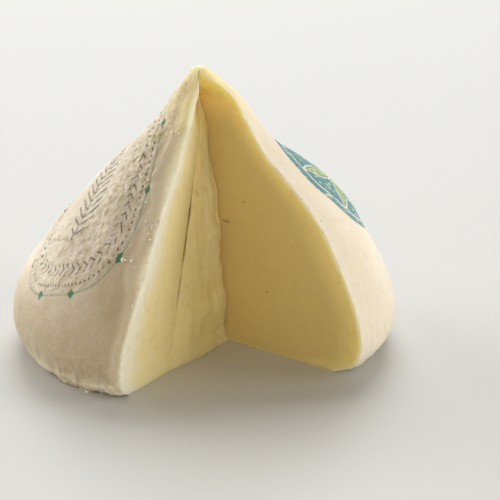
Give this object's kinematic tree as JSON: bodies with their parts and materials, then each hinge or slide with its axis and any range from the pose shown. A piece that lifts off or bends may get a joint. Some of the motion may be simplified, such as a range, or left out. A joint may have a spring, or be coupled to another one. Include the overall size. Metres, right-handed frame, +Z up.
{
  "type": "tetilla cheese",
  "caption": "Breast-shaped soft cheese with a flat base, a pointed tip and a pale rind, with a wedge cut out down to the base so that its smooth paste shows.",
  "frame": {"origin": "middle of the flat base on the cheese's axis", "axes": "+Z up along the axis towards the tip, -Y out through the middle of the cut"},
  "size_m": [0.1448, 0.1322, 0.1065],
  "materials": {
    "cheese": "thin satin rind outside, smooth moist paste on the cut faces"
  },
  "bodies": {
    "root": {"cheese": "cheese"}
  },
  "joints": []
}
